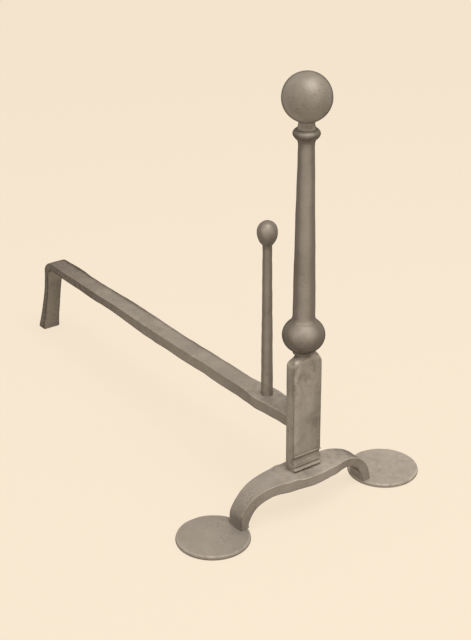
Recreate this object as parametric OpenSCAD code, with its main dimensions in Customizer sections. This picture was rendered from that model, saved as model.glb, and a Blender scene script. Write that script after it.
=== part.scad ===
// Wrought-iron andiron: a turned post on a two-legged arch with penny feet,
// and a billet bar that runs back to its own turned-down leg.
// X runs across the hearth, Y runs back into the fire, Z is up, sizes in mm.

/* [Arch] */
// Height of the flat seat in the middle of the arch above the hearth
arch_h = 49.4; // [40:0.1:60]
// Rise of each shoulder of the arch above the seat, below 0 where the seat is highest
hump_rise = -1.8; // [-3:0.1:6]
// Distance of the top of each shoulder from the middle
hump_x = 34; // [32:1:58]
// Distance of the outer face of each leg from the middle
leg_x = 89; // [78:0.1:110]
// Width of the arch strap, front to back, at the seat
arch_w = 43.6; // [34:0.1:48]
// Distance by which the strap bows forward at the seat
arch_lead = 5.2; // [0:0.1:8]
// Width of the strap, front to back, where a leg meets its foot
leg_w = 22.6; // [20:0.1:34]
// Thickness of the strap at the seat
arch_t = 11.2; // [8:0.1:14]
// Extra thickness under the seat, where the plinth's tenon passes through
arch_belly = 0.6; // [0:0.1:2]
// Thickness of each leg where it meets its foot
leg_t = 11; // [7:0.1:12]
// Squareness of the turn from shoulder into leg, 2 is a plain ellipse
leg_turn = 2.25; // [2:0.05:3]

/* [Feet] */
// Diameter of each penny foot
foot_d = 79; // [60:1:100]
// Thickness of each penny foot
foot_t = 5; // [4:0.5:8]
// Depth of the worn bevel round each foot
foot_bevel = 1; // [0.4:0.1:1.8]
// Part of each foot that shows inboard of its leg
foot_lip = 1; // [0.5:0.5:6]
// Width, front to back, of the tenon that holds a leg in its foot
leg_tenon_w = 13; // [8:1:17]
// Shoulder left on each side of the leg tenon
leg_shoulder = 2; // [1:0.5:2.5]

/* [Plinth] */
// Width of the plinth, seen from the front
plinth_w = 36.4; // [30:0.1:44]
// Depth of the plinth, front to back
plinth_d = 13.4; // [13:0.1:20]
// Distance by which the middle of the plinth lies in front of the post's axis
plinth_lead = 2; // [0:0.1:2.5]
// Height of the plinth from its seat to the start of its shoulders
plinth_h = 122; // [105:0.1:160]
// Height over which the shoulders round in to the neck
shoulder_h = 11.6; // [9:0.1:18]
// Height by which the arched top of each flat face rises above the start of the shoulders
face_rise = 7.7; // [5:0.1:10]
// Height of the straight neck between the shoulders and the knop
neck_h = 3.4; // [1:0.1:10]
// Diameter of the round neck that carries the knop
neck_d = 22.4; // [18:0.1:26]
// Bevel along the upright edges of the plinth
plinth_bevel = 0.8; // [0.3:0.1:2]
// Height of the bead at the foot of the moulding
bead_h = 4; // [3:0.1:6]
// Distance by which the bead stands out from the face
bead_out = 2.8; // [0:0.1:4]
// Depth of the filed groove above the bead
groove_depth = 1.4; // [0.6:0.1:2]
// Height of the plain band above the groove
band_h = 3; // [1:0.1:5]
// Distance by which the band stands out from the face
band_out = 0.8; // [0:0.1:1.5]
// Height of the hollow above the band
cove_h = 8; // [5:0.5:12]
// Depth of the hollow
cove_depth = 1.6; // [0.8:0.1:2]
// Diameter of the ridge above the hollow
ridge_d = 2.6; // [1.6:0.1:4]
// Distance by which the ridge stands out from the face
ridge_out = 1; // [0:0.1:1.5]
// Width of the tenon that passes down through the arch
post_tenon_w = 17; // [12:1:19]
// Depth of that tenon, front to back
post_tenon_d = 8; // [6:0.5:10]
// Diameter of its hammered-over end
post_peen_d = 24; // [22:0.5:28]
// Height of its hammered-over end
post_peen_h = 3; // [2:0.5:5]

/* [Knop] */
// Greatest diameter of the knop
knop_d = 44.8; // [36:0.1:56]
// Full height of the oval that the knop is cut from
knop_h = 39.6; // [32:0.1:50]

/* [Shaft] */
// Diameter of the shaft's foot, where it spreads on to the knop
shaft_foot_d = 27; // [22:0.1:30]
// Diameter of the shaft above its foot
shaft_d = 23.6; // [18:0.1:28]
// Diameter of the shaft under the collar
shaft_top_d = 16.7; // [14:0.1:20]
// Length of the shaft from knop to collar
shaft_len = 194.4; // [150:0.1:240]
// Height of the small spread at the foot of the shaft
shaft_foot_h = 6; // [2:0.5:10]
// Height of the hollow under the collar
shaft_cove_h = 9.5; // [4:0.5:14]
// Diameter of the tenon that holds shaft, knop and plinth together
shaft_tenon_d = 7; // [6:0.5:8.5]
// Length of that tenon inside the plinth
shaft_tenon_len = 18; // [12:1:30]

/* [Collar and ball] */
// Diameter of the collar
collar_d = 27.6; // [22:0.1:36]
// Diameter of the collar's two faces
collar_face_d = 20.6; // [18:0.1:21.5]
// Height of the collar
collar_h = 10; // [7:0.5:14]
// Diameter of the ball
ball_d = 50.4; // [40:0.1:64]
// Diameter of the waist under the ball
waist_d = 16.5; // [13:0.5:20]
// Height of the waist between collar and ball
waist_h = 7.4; // [4:0.1:12]
// Diameter of the waist's foot, where it sits on the collar
waist_foot_d = 18.8; // [17:0.1:20]
// Diameter of the ball's stud, which runs down into the shaft
stud_d = 9; // [6:0.5:10]
// Length of the stud inside the shaft
stud_len = 18; // [10:1:30]

/* [Billet bar] */
// Height of the bar's top above the hearth
bar_h = 105.8; // [85:0.1:125]
// Lift of the bar's top where it meets the plinth
bar_lift = 3.5; // [0:0.5:8]
// Sag of the bar's top between plinth and bend
bar_sag = 1; // [0:0.1:6]
// Distance from the post's axis to the start of the rear bend
bar_reach = 514; // [420:1:600]
// Width of the bar along most of its length
bar_w = 25; // [20:0.5:32]
// Width of the bar between the plinth and the log stop
bar_front_w = 30.2; // [24:0.1:34]
// Thickness of the bar at the plinth
bar_t = 13.3; // [10:0.1:16]
// Thickness of the bar at the rear bend
bar_rear_t = 10; // [8:0.5:14]
// Outside radius of the rear bend
bend_r = 23; // [16:1:32]
// Distance that the rear leg leans back between bend and hearth
leg_lean = 23.6; // [5:0.1:40]
// Width of the rear leg just below the bend
rear_w = 21.4; // [17:0.1:25]
// Width of the rear leg's foot
rear_foot_w = 26; // [22:0.5:34]
// Thickness of the rear leg's foot, front to back
rear_foot_t = 14; // [11:0.5:18]
// Width of the tenon that holds the bar in the plinth
bar_tenon_w = 16; // [10:1:20]
// Height of that tenon
bar_tenon_h = 7; // [5:0.5:9]
// Length of that tenon
bar_tenon_len = 8; // [5:0.5:9]

/* [Log stop] */
// Distance of the log stop behind the post's axis
stop_y = 62; // [45:1:90]
// Diameter of the rod at the bar
stop_d = 13.4; // [10:0.1:16]
// Diameter of the rod under its head
stop_neck_d = 10.2; // [8:0.1:12]
// Length of the rod from the bar to its neck
stop_len = 175.7; // [130:0.1:220]
// Diameter of the egg-shaped head
stop_head_d = 22.4; // [18:0.1:30]
// Height of the head above its widest place
stop_crown_h = 12; // [9:0.1:18]
// Height of the whole egg below that place, of which the rod's end covers the tip
stop_egg_h = 16.8; // [10:0.1:24]
// Diameter of the tenon that passes down through the bar
stop_tenon_d = 8; // [5:0.5:9]
// Diameter of its hammered-over end
stop_peen_d = 13; // [11:0.5:16]
// Height of its hammered-over end
stop_peen_h = 2.4; // [1.5:0.1:4]
// Swelling of the bar on each side of the punched hole
stop_swell = 1.4; // [0:0.1:3]

/* [Fits] */
// Clearance round each tenon and stud in its hole
fit = 0.1; // [0.05:0.05:0.3]
// Clearance beyond the end of each blind tenon
end_gap = 1; // [0.5:0.5:3]
// Depth by which the leg tenons stop short of the hearth
sole_gap = 0.4; // [0.2:0.1:1]

/* [Hidden] */
$fn = 96;

iron = "#7d766b";
iron_dark = "#6b645a";
iron_light = "#8c8579";

curve_steps = 16;    // points along a long curved stretch
short_steps = 8;     // points along a short one
clear = 1;           // how far a blank or a cutter runs past what it shapes
join = 0.2;          // how far a tenon, stud or hammered-over end runs into its own piece
far = 400;           // half the length of a cutter that reaches past everything
seat_margin = 1;     // flat seat left clear on each side of the plinth
peen_seat = 0.3;     // flat filed under the bar for the log stop's hammered-over end
waist_power = 2.4;   // above 2, the strap narrows sooner on its way to the legs
cove_power = 1.5;    // above 1, the hollow is deepest near its top
round_power = 0.52;  // below 1, the plinth's shoulders stay full higher up
face_power = 2.1;    // squareness of the arched top of each flat face, 2 is a plain ellipse
flare_power = 1.8;   // above 1, the plinth's neck flares late
flare_wall = 1;      // wall round the tenon's hole where the neck's flare starts
top_slope = 45;      // slope of the shoulders behind the arched top of each flat face
taper_power = 1.35;  // above 1, the shaft stays full low down
collar_power = 1.15; // above 1, the collar is fullest above its middle
collar_full = 0.68;  // below 1, the collar's edge is fuller than a half round
lift_power = 8;      // how soon the bar's lift dies away behind the plinth
swell_share = 1.6;   // length of the bar's draw-down behind the log stop, in rod diameters
leg_power = 1.15;    // above 1, the rear leg starts steep and kicks out lower down
foot_power = 0.8;    // below 1, the rear foot spreads only near the hearth

// faces of the plinth, in front of and behind the post's axis
front_face = plinth_d / 2 + plinth_lead;
back_face = plinth_d / 2 - plinth_lead;
neck_r = neck_d / 2;

// heights up the post
hump_z = arch_h + hump_rise;
seat_under_z = arch_h - arch_t - arch_belly;
shoulder_z = arch_h + plinth_h;
neck_foot_z = shoulder_z + shoulder_h;
neck_z = neck_foot_z + neck_h;
knop_z = neck_z + oval_at(neck_r);
knop_top_z = knop_z + oval_at(shaft_foot_d / 2);
collar_z = knop_top_z + shaft_len;
ball_seat_z = collar_z + collar_h;
ball_z = ball_seat_z + waist_h + sphere_at(ball_d / 2, waist_d / 2);

// places along the bar
bar_y = back_face;
lean_angle = atan2(leg_lean, bar_h - bend_r);
bend_end = [bar_reach + bend_r * cos(lean_angle), bar_h - bend_r + bend_r * sin(lean_angle)];
rear_y = bend_end[0] + leg_lean;
leg_from = bar_reach - bend_r / 2;
foot_x = leg_x - leg_t - foot_lip + foot_d / 2;
stop_z = bar_top(stop_y + stop_d / 2);
stop_under_z = bar_top(stop_y) - bar_thick(stop_y) + peen_seat;
head_z = stop_z + stop_len + stop_egg_h * sin(acos(stop_neck_d / stop_head_d));

// the origin lies on the hearth, in the middle of the andiron's length
mid_y = (rear_y - foot_d / 2) / 2;

// half height of the knop's oval at radius r, and of a ball of radius big at radius r
function oval_at(r) = knop_h / 2 * sqrt(1 - pow(2 * r / knop_d, 2));
function sphere_at(big, r) = sqrt(big * big - r * r);
function mix(a, b, t) = a + (b - a) * t;
function ease(t) = t * t * (3 - 2 * t);
function clamp01(t) = max(0, min(1, t));
function bell(t) = exp(-t * t);
function mirrored(points) = [for (i = [len(points) - 1:-1:0]) [-points[i][0], points[i][1]]];
function backwards(points) = [for (i = [len(points) - 1:-1:0]) points[i]];

// ---- arch strap -------------------------------------------------------------

// Quarter of a superellipse from the shoulder's top, a along x and b high, down to height z_end
function turn(a, b, z_end) =
    let (last = acos(pow(z_end / b, leg_turn / 2)))
    [for (i = [1:curve_steps]) let (t = last * i / curve_steps)
        [hump_x + a * pow(sin(t), 2 / leg_turn), b * pow(cos(t), 2 / leg_turn)]];

// Right half of the strap's edge: flat seat, rise to the shoulder, turn down into the leg
function strap_edge(drop, belly, leg_face) =
    let (seat = plinth_w / 2 + seat_margin)
    concat([for (i = [0:short_steps]) let (t = i / short_steps)
                [mix(seat, hump_x, t), arch_h - drop + hump_rise * ease(t) - belly * (1 - ease(t))]],
           turn(leg_face - hump_x, hump_z - drop, foot_t));

module strap_front() {
    top = strap_edge(0, 0, leg_x);
    under = strap_edge(arch_t, arch_belly, leg_x - leg_t);
    polygon(concat(mirrored(top), top, backwards(under), backwards(mirrored(under))));
}

// Plan of one long side of the strap: widest and furthest forward at the seat
function strap_side(side) =
    let (reach = leg_x + clear)
    [for (i = [-curve_steps:curve_steps]) let (x = reach * i / curve_steps, near_seat = cos(90 * x / reach))
        [x, side * mix(leg_w, arch_w, pow(near_seat, waist_power)) / 2 - arch_lead * pow(near_seat, 2)]];

module strap_plan() {
    polygon(concat(strap_side(1), backwards(strap_side(-1))));
}

module leg_tenon(gap, height, low) {
    size = [leg_t - 2 * leg_shoulder + 2 * gap, leg_tenon_w + 2 * gap];
    for (side = [-1, 1])
        translate([side * (leg_x - leg_t / 2) - size[0] / 2, -size[1] / 2, low])
            cube([size[0], size[1], height]);
}

module post_tenon(gap, low, height) {
    translate([-post_tenon_w / 2 - gap, -plinth_lead - post_tenon_d / 2 - gap, low])
        cube([post_tenon_w + 2 * gap, post_tenon_d + 2 * gap, height]);
}

module arch_strap() {
    color(iron_light) place() {
        difference() {
            intersection() {
                rotate([90, 0, 0])
                    translate([0, 0, -far / 2])
                        linear_extrude(far) strap_front();
                linear_extrude(hump_z + clear) strap_plan();
            }
            post_tenon(fit, 0, far);
        }
        leg_tenon(0, foot_t - sole_gap + join, sole_gap);
    }
}

// ---- penny feet -------------------------------------------------------------

module penny_foot(side) {
    r = foot_d / 2;
    color(iron_light) place() difference() {
        translate([side * foot_x, 0, 0])
            rotate_extrude()
                polygon([[0, 0], [r - foot_bevel / 2, 0], [r, foot_bevel / 2],
                         [r, foot_t - foot_bevel], [r - foot_bevel, foot_t], [0, foot_t]]);
        leg_tenon(fit, foot_t + 2 * clear, -clear);
    }
}

module left_foot() penny_foot(-1);
module right_foot() penny_foot(1);

// ---- plinth -----------------------------------------------------------------

// Front of the plinth, from its foot up: bead, groove, band, hollow and ridge
function moulding() =
    let (bead_r = bead_h / 2,
         ridge_r = ridge_d / 2,
         groove_z = arch_h + bead_h,
         band_z = groove_z + groove_depth,
         cove_z = band_z + band_h,
         ridge_z = cove_z + cove_h)
    concat([for (a = [-75:25:75]) [-(front_face + bead_out * cos(a)), arch_h + bead_r * (1 + sin(a))]],
           [[-(front_face - groove_depth), groove_z + groove_depth / 2],
            [-(front_face + band_out), band_z], [-(front_face + band_out), cove_z]],
           [for (i = [1:short_steps - 1]) let (t = i / short_steps)
               [-(front_face + band_out * (1 - t) - cove_depth * sin(180 * pow(t, cove_power))),
                cove_z + cove_h * t]],
           [for (a = [-60:30:60]) [-(front_face + ridge_out * cos(a)), ridge_z + ridge_r * (1 + sin(a))]],
           [[-front_face, ridge_z + ridge_d]]);

// Side view of the plinth: moulded front, plain back
module plinth_side() {
    polygon(concat(moulding(), [[-front_face, neck_z], [back_face, neck_z], [back_face, arch_h],
                                [-front_face, arch_h]]));
}

// Plan of the plinth: bevelled upright edges, open in front for the moulding
module plinth_plan() {
    w = plinth_w / 2;
    b = plinth_bevel;
    side = [[w - b, -neck_d], [w - b, -front_face], [w, -front_face + b],
            [w, back_face - b], [w - b, back_face], [w - b, neck_d]];
    polygon(concat(side, mirrored(side)));
}

// Front view of the plinth: upright sides whose shoulders round in to the neck
module plinth_front() {
    side = concat([[plinth_w / 2, 0]],
                  [for (i = [0:curve_steps]) let (t = i / curve_steps)
                      [mix(neck_r, plinth_w / 2, pow(cos(90 * t), round_power)),
                       shoulder_z + shoulder_h * t]]);
    polygon(concat(side, mirrored(side)));
}

// Top of a flat face, a low arch across it, half of a superellipse
function face_top(x) =
    shoulder_z + face_rise * pow(1 - pow(abs(2 * x / plinth_w), face_power), 1 / face_power);

// Everything below the slope that rises from a face's arched top to the middle of the plinth;
// side is -1 in front and 1 behind
module below_slope(side, face) {
    steps = [for (i = [-curve_steps:curve_steps]) plinth_w / 2 * sin(90 * i / curve_steps)];
    rotate([side * top_slope + (side < 0 ? 180 : 0), 0, 0])
        translate([0, 0, -far / 2])
            linear_extrude(far)
                polygon(concat([for (x = steps) [x, face_top(x) * cos(top_slope) + face * sin(top_slope)]],
                               [[plinth_w / 2, 0], [-plinth_w / 2, 0]]));
}

// Round neck that grows out of the slab and flares to carry the knop
module neck_flare() {
    low = shaft_tenon_d / 2 + fit + flare_wall;
    low_z = shoulder_z + shoulder_h / 4;
    rotate_extrude()
        polygon(concat([[0, low_z]],
                       [for (i = [0:short_steps]) let (t = i / short_steps)
                           [mix(low, neck_r, pow(t, flare_power)), mix(low_z, neck_foot_z, t)]],
                       [[neck_r, neck_z], [0, neck_z]]));
}

module peened_end(d, h) {
    rotate_extrude()
        polygon(concat([[0, 0]],
                       [for (a = [0:15:75]) [d / 2 * cos(a), -h * sin(a)]],
                       [[0, -h]]));
}

module bar_tenon(gap, extra) {
    z = bar_top(bar_y) - bar_thick(bar_y) / 2;
    translate([-bar_tenon_w / 2 - gap, bar_y - bar_tenon_len - extra, z - bar_tenon_h / 2 - gap])
        cube([bar_tenon_w + 2 * gap, bar_tenon_len + extra + join, bar_tenon_h + 2 * gap]);
}

module plinth() {
    color(iron) place() {
        difference() {
            union() {
                intersection() {
                    rotate([90, 0, 90])
                        translate([0, 0, -far / 2])
                            linear_extrude(far) plinth_side();
                    linear_extrude(far) plinth_plan();
                    rotate([90, 0, 0])
                        translate([0, 0, -far / 2])
                            linear_extrude(far) plinth_front();
                    below_slope(-1, front_face);
                    below_slope(1, back_face);
                }
                neck_flare();
            }
            translate([0, 0, neck_z - shaft_tenon_len - end_gap])
                cylinder(d = shaft_tenon_d + 2 * fit, h = far);
            bar_tenon(fit, end_gap);
        }
        post_tenon(0, seat_under_z - join, arch_h - seat_under_z + 2 * join);
        translate([0, -plinth_lead, seat_under_z]) peened_end(post_peen_d, post_peen_h);
    }
}

// ---- knop, shaft, collar and ball -------------------------------------------

module knop() {
    low = -acos(neck_d / knop_d);
    high = acos(shaft_foot_d / knop_d);
    color(iron) place() difference() {
        translate([0, 0, knop_z])
            rotate_extrude()
                polygon(concat([[0, knop_h / 2 * sin(low)]],
                               [for (i = [0:24]) let (a = mix(low, high, i / 24))
                                   [knop_d / 2 * cos(a), knop_h / 2 * sin(a)]],
                               [[0, knop_h / 2 * sin(high)]]));
        translate([0, 0, neck_z - clear])
            cylinder(d = shaft_tenon_d + 2 * fit, h = knop_h + 2 * clear);
    }
}

// Half section of the shaft: spread foot, long easy taper, hollow under the collar
function shaft_profile() =
    let (foot = shaft_foot_d / 2, low = shaft_d / 2, top = shaft_top_d / 2, lip = collar_face_d / 2,
         taper_len = shaft_len - shaft_foot_h - shaft_cove_h)
    concat([for (i = [0:5]) let (t = i / 5) [mix(foot, low, sin(90 * t)), shaft_foot_h * t]],
           [for (i = [1:curve_steps]) let (t = i / curve_steps)
               [mix(low, top, pow(t, taper_power)), shaft_foot_h + taper_len * t]],
           [for (i = [1:short_steps]) let (t = i / short_steps)
               [mix(top, lip, 1 - cos(90 * t)), shaft_len - shaft_cove_h * (1 - sin(90 * t))]]);

module shaft() {
    tenon_z = neck_z - shaft_tenon_len;
    color(iron) place() {
        difference() {
            translate([0, 0, knop_top_z])
                rotate_extrude()
                    polygon(concat([[0, 0]], shaft_profile(), [[0, shaft_len]]));
            translate([0, 0, collar_z - stud_len - end_gap])
                cylinder(d = stud_d + 2 * fit, h = far);
        }
        translate([0, 0, tenon_z]) cylinder(d = shaft_tenon_d, h = knop_top_z - tenon_z + join);
    }
}

// Rounded ring, fullest a little above its middle
module neck_collar() {
    color(iron_dark) place() difference() {
        translate([0, 0, collar_z])
            rotate_extrude()
                polygon(concat([[0, 0]],
                               [for (i = [0:14]) let (t = i / 14)
                                   [mix(collar_face_d, collar_d,
                                        pow(sin(180 * pow(t, collar_power)), collar_full)) / 2,
                                    collar_h * t]],
                               [[0, collar_h]]));
        translate([0, 0, collar_z - clear]) cylinder(d = stud_d + 2 * fit, h = collar_h + 2 * clear);
    }
}

module ball_finial() {
    r = ball_d / 2;
    start = -acos(waist_d / ball_d);
    color(iron) place() {
        translate([0, 0, ball_seat_z])
            rotate_extrude()
                polygon(concat([[0, 0]],
                               [for (i = [0:short_steps]) let (t = i / short_steps)
                                   [mix(waist_foot_d, waist_d, sin(90 * t)) / 2, waist_h * t]],
                               [for (i = [1:30]) let (a = mix(start, 90, i / 30))
                                   [max(0, r * cos(a)), ball_z - ball_seat_z + r * sin(a)]]));
        translate([0, 0, collar_z - stud_len]) cylinder(d = stud_d, h = collar_h + stud_len + join);
    }
}

// ---- billet bar -------------------------------------------------------------

function along(y) = clamp01((y - bar_y) / (bar_reach - bar_y));
function bar_top(y) =
    bar_h + bar_lift * pow(1 - along(y), lift_power) - bar_sag * sin(180 * along(y));
function bar_thick(y) = mix(bar_t, bar_rear_t, along(y));

// Side view: top of the bar, round the bend, down the leg, and back along the inside
module bar_side() {
    centre_z = bar_h - bend_r;
    inner = bend_r - bar_rear_t;
    inner_end = [bar_reach + inner * cos(lean_angle), centre_z + inner * sin(lean_angle)];
    run = [for (i = [0:28]) mix(bar_y, bar_reach, i / 28)];
    bend = [for (i = [1:short_steps]) mix(90, lean_angle, i / short_steps)];
    drop = [for (i = [1:6]) i / 6];
    outside = concat([for (y = run) [y, bar_top(y)]],
                     [for (a = bend) [bar_reach + bend_r * cos(a), centre_z + bend_r * sin(a)]],
                     [for (u = drop) [bend_end[0] + leg_lean * pow(u, leg_power), bend_end[1] * (1 - u)]]);
    inside = concat([for (y = run) [y, bar_top(y) - bar_thick(y)]],
                    [for (a = bend) [bar_reach + inner * cos(a), centre_z + inner * sin(a)]],
                    [for (u = drop) [mix(inner_end[0], rear_y - rear_foot_t, u), inner_end[1] * (1 - u)]]);
    polygon(concat(outside, backwards(inside)));
}

// Half width of the bar: full to the log stop, a swell round its hole, then drawn down
function bar_half_w(y) =
    mix(bar_front_w, bar_w, ease(clamp01((y - stop_y - stop_d / 2) / (swell_share * stop_d)))) / 2
    + stop_swell * bell((y - stop_y) / stop_d);

module bar_plan() {
    front = [for (i = [0:24]) mix(bar_y, stop_y + 2 * swell_share * stop_d, i / 24)];
    side = concat([for (y = front) [bar_half_w(y), y]],
                  [[bar_w / 2, leg_from + clear], [rear_foot_w, leg_from + clear],
                   [rear_foot_w, rear_y + clear]]);
    polygon(concat(side, mirrored(side)));
}

// Front view: full width of the bar above, the leg drawn in below the bend and spread at its foot
module bar_front() {
    leg_top = bar_h - bend_r;
    side = concat([for (i = [0:12]) let (t = i / 12)
                      [mix(rear_foot_w, rear_w, sin(90 * pow(t, foot_power))) / 2, leg_top * t]],
                  [for (i = [1:4]) let (t = i / 4)
                      [mix(rear_w, bar_w, ease(t)) / 2, mix(leg_top, bar_h - bar_rear_t / 2, t)]],
                  [[bar_w / 2, bar_h + bar_lift + clear]]);
    polygon(concat(side, mirrored(side)));
}

module billet_bar() {
    color(iron) place() {
        difference() {
            intersection() {
                rotate([90, 0, 90])
                    translate([0, 0, -far / 2])
                        linear_extrude(far) bar_side();
                linear_extrude(far) bar_plan();
                union() {
                    translate([-far / 2, 0, 0]) cube([far, leg_from, far]);
                    translate([0, 2 * far, 0])
                        rotate([90, 0, 0]) linear_extrude(2 * far) bar_front();
                }
            }
            translate([0, stop_y, 0]) cylinder(d = stop_tenon_d + 2 * fit, h = far);
            translate([0, stop_y, stop_z]) cylinder(d = stop_d + 2 * fit, h = far);
            translate([0, stop_y, stop_under_z - far]) cylinder(d = stop_peen_d + 2 * fit, h = far);
        }
        bar_tenon(0, 0);
    }
}

// ---- log stop ---------------------------------------------------------------

module log_stop() {
    r = stop_head_d / 2;
    head = head_z - stop_z;
    start = -acos(stop_neck_d / stop_head_d);
    color(iron_dark) place() translate([0, stop_y, 0]) {
        translate([0, 0, stop_z])
            rotate_extrude()
                polygon(concat([[0, 0], [stop_d / 2, 0], [stop_neck_d / 2, stop_len]],
                               [for (i = [1:24]) let (a = mix(start, 90, i / 24))
                                   [max(0, r * cos(a)),
                                    head + (a < 0 ? stop_egg_h : stop_crown_h) * sin(a)]]));
        translate([0, 0, stop_under_z - join])
            cylinder(d = stop_tenon_d, h = stop_z - stop_under_z + 2 * join);
        translate([0, 0, stop_under_z]) peened_end(stop_peen_d, stop_peen_h);
    }
}

// Moves a piece from the post's axis to the andiron's own origin
module place() {
    translate([0, -mid_y, 0]) children();
}

arch_strap();
left_foot();
right_foot();
plinth();
knop();
shaft();
neck_collar();
ball_finial();
billet_bar();
log_stop();
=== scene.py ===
import math
import bpy
import numpy as np
from mathutils import Matrix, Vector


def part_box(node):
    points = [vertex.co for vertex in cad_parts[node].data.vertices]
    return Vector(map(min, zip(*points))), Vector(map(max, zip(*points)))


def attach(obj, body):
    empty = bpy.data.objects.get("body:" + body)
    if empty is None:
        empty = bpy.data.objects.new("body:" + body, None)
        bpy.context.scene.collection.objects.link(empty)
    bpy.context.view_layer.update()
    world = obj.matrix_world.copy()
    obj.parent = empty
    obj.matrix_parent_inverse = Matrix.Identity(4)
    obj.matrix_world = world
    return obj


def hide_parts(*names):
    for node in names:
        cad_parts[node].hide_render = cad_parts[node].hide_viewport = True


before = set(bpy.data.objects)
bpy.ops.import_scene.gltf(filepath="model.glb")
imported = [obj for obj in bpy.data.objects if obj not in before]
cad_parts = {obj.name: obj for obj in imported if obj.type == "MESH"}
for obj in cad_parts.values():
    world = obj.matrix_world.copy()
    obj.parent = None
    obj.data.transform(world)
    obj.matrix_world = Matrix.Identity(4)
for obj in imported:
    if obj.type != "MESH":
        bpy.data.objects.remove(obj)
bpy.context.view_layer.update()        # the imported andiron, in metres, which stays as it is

mm = 0.001
ballLow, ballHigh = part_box("ball_finial")
postY = (ballLow.y + ballHigh.y) / 2   # the post's axis stands at x = 0, y = postY
print("frame loaded, post axis at y =", round(postY / mm, 2), "mm")


def between(a, b, t):   # straight mix of a and b
    return a + (b - a) * t


def ease(t):   # 0 to 1 with level ends: 3t^2 - 2t^3
    t = np.clip(t, 0, 1)
    return t * t * (3 - 2 * t)


def fade(value, start, length):   # 0 up to start, easing to 1 over length
    return ease((value - start) / length)


def within(value, half, edge):   # 1 near 0, easing to 0 over the length edge before half is reached
    return ease((half - abs(value)) / edge)


def bell(value, place, wide):   # 1 at place, falling on both sides: e^-((value - place) / wide)^2
    return np.exp(-((value - place) / wide) ** 2)


def axes(grid):   # the grid's x, y and z as three arrays
    return np.moveaxis(grid, -1, 0)


def stacked(*parts):   # arrays side by side along a new last axis, each repeated to fit the others
    return np.stack(np.broadcast_arrays(*parts), -1)


def evenly(points, step):
    # Points at equal distances along a line of points, found on its running length
    points = np.asarray(points, float)
    length = np.r_[0, np.cumsum(np.linalg.norm(np.diff(points, axis=0), axis=1))]
    at = np.linspace(0, length[-1], int(round(length[-1] / step)) + 1)
    return stacked(*(np.interp(at, length, column) for column in points.T))


def soften(points, passes):
    # Each pass moves a point half-way to the mean of its two neighbours, which rounds the corners
    points = points.copy()
    for _ in range(passes):
        points[1:-1] += (points[:-2] + points[2:] - 2 * points[1:-1]) / 4
    return points


def turned(profile, steps, centre=(0.0, 0.0)):
    # A profile of radius and height carried round an upright axis: x = r cos a, y = r sin a, z = height
    angle = np.arange(steps) / steps * 2 * np.pi
    radius, height = profile[:, :1], profile[:, 1:]
    return stacked(centre[0] + radius * np.cos(angle), centre[1] + radius * np.sin(angle), height)


def barSection(wideSteps, thinSteps, cornerSteps):
    # One trip round a bar's section. Each point is (flat, round) across and (flat, round) up:
    # its place is flat * (half size - corner radius) + round * corner radius.
    turn = np.linspace(0, np.pi / 2, cornerSteps)
    rows = []
    for quarter, (across, up) in enumerate(((1, -1), (1, 1), (-1, 1), (-1, -1))):
        angle = turn + (quarter - 1) * np.pi / 2
        rows.append(stacked(across, np.cos(angle), up, np.sin(angle)))
        run = np.linspace(-1, 1, (thinSteps if quarter % 2 == 0 else wideSteps) + 2)[1:-1]
        flat = np.zeros((len(run), 4))
        if quarter % 2 == 0:   # a thin side, run up on the right and down on the left
            flat[:, 0] = flat[:, 1] = across
            flat[:, 2] = run * across
        else:                  # a wide side, run to the left on top and to the right below
            flat[:, 0] = -run * up
            flat[:, 2] = flat[:, 3] = up
        rows.append(flat)
    return np.concatenate(rows)


def drawnBar(top, under, halfWidth, corner, section, sideways):
    # The section carried between two paired lines of points, the bar's top and its underside
    middle = (top + under) / 2
    up = top - under
    thick = np.linalg.norm(up, axis=1)
    up = up / thick[:, None]
    across = section[:, 0] * (halfWidth[:, None] - corner) + section[:, 1] * corner
    height = section[:, 2] * (thick[:, None] / 2 - corner) + section[:, 3] * corner
    return middle[:, None] + across[..., None] * sideways + height[..., None] * up[:, None]


def gridNormals(grid, ring):
    # Cross product of the slopes along the rows and round the columns, pointed away from the middle of
    # each row, or of each column where the rows close as well
    along = (np.roll(grid, -1, 0) - np.roll(grid, 1, 0)) if ring else np.gradient(grid, axis=0)
    normal = np.cross(along, np.roll(grid, -1, 1) - np.roll(grid, 1, 1))
    normal /= np.linalg.norm(normal, axis=-1, keepdims=True) + 1e-15
    outward = (normal * (grid - grid.mean(0 if ring else 1, keepdims=True))).sum()
    return normal if outward > 0 else -normal


def waves(points, size, seed, count=26):
    # Sum of sine waves in random directions, of about one wavelength: soft lumps from about -1 to 1
    rng = np.random.default_rng(seed)
    direction = rng.normal(size=(count, 3))
    direction /= np.linalg.norm(direction, axis=1)[:, None]
    pace = 2 * np.pi / (size * rng.uniform(0.7, 1.7, count))
    phase = rng.uniform(0, 2 * np.pi, count)
    return np.sin(points @ (direction * pace[:, None]).T + phase).sum(-1) / math.sqrt(count)


def dishes(points, spacing, seed):
    # Hammer blows at random points of the surface: 1 in the middle of a blow, falling with the
    # square of the distance to 0 at its rim
    rng = np.random.default_rng(seed)
    flat = points.reshape(-1, 3)
    span = flat.max(0) - flat.min(0)
    area = 2 * (span[0] * span[1] + span[1] * span[2] + span[2] * span[0])
    blows = flat[rng.choice(len(flat), min(len(flat), int(area / spacing ** 2) + 8), replace=False)]
    nearest = np.full(len(flat), 1e9)
    for blow in blows:
        nearest = np.minimum(nearest, ((flat - blow) ** 2).sum(1))
    return np.clip(1 - nearest / spacing ** 2, 0, 1).reshape(points.shape[:-1])


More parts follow.
